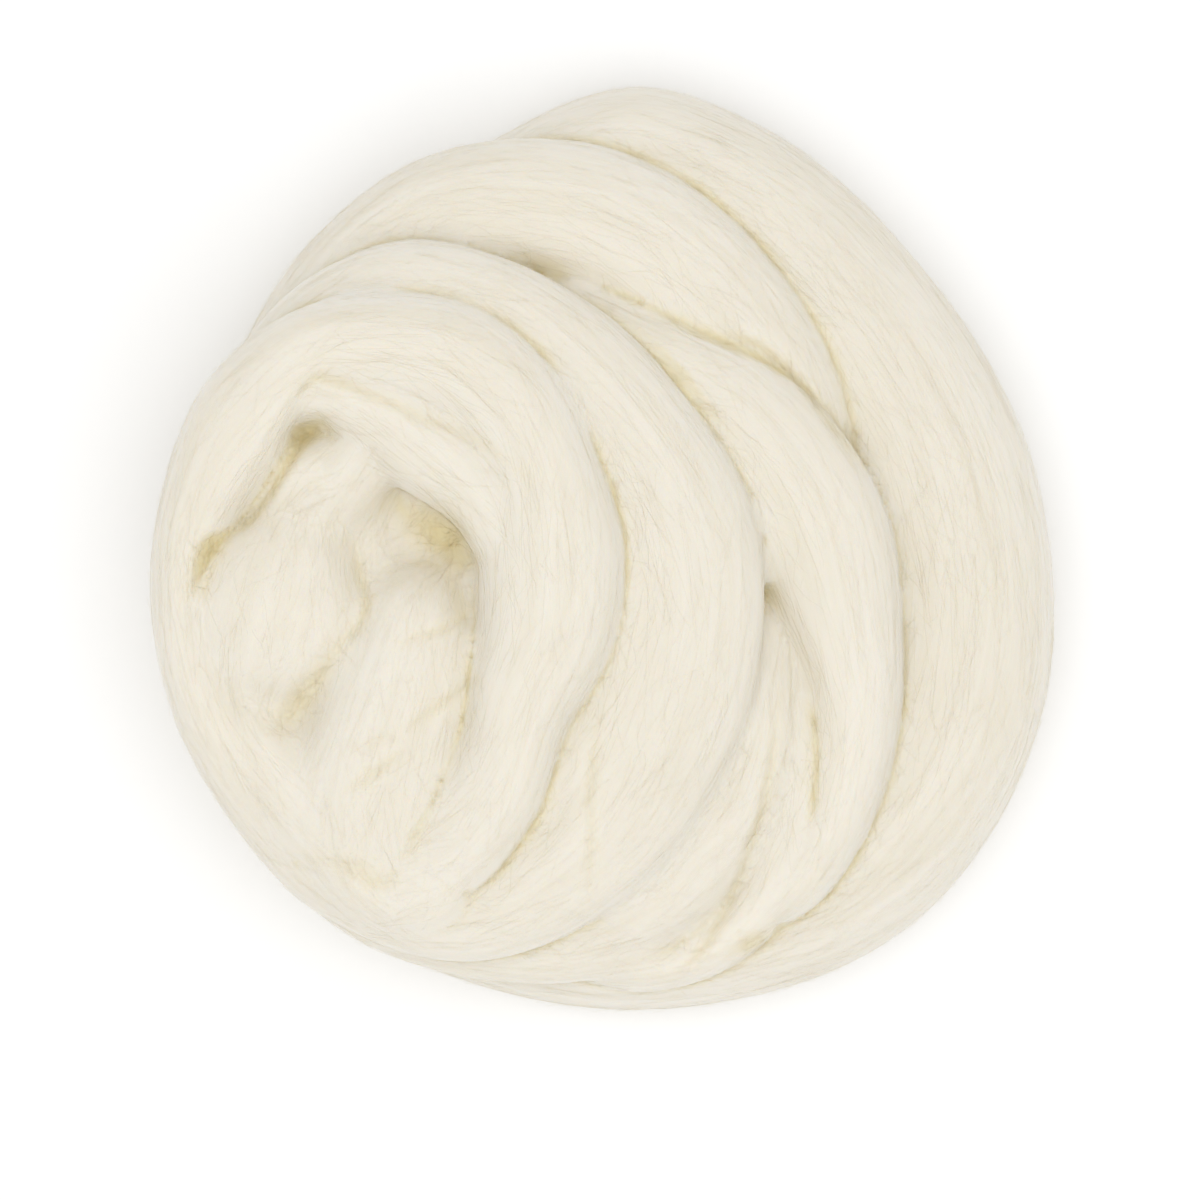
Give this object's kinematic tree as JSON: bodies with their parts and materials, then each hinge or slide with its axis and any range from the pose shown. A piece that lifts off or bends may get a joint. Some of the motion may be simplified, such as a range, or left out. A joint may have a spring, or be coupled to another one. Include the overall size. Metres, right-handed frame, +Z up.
{
  "type": "wool roving bundle",
  "caption": "Loose hand-wound bundle of thick untwisted wool roving, its soft turns stacked at one side and fanned out at the other around a tucked knot.",
  "frame": {"origin": "centre of the bounding box's footprint, on the surface the bundle rests on", "axes": "+Z up through the bundle, its shortest extent; -X towards the stacked side and +X towards the fanned side; -Y towards the seam where each turn passes into the next"},
  "size_m": [0.1967, 0.2005, 0.0791],
  "materials": {
    "wool": "matt combed fibre, undyed cream"
  },
  "bodies": {
    "root": {"roving": "wool"}
  },
  "joints": []
}
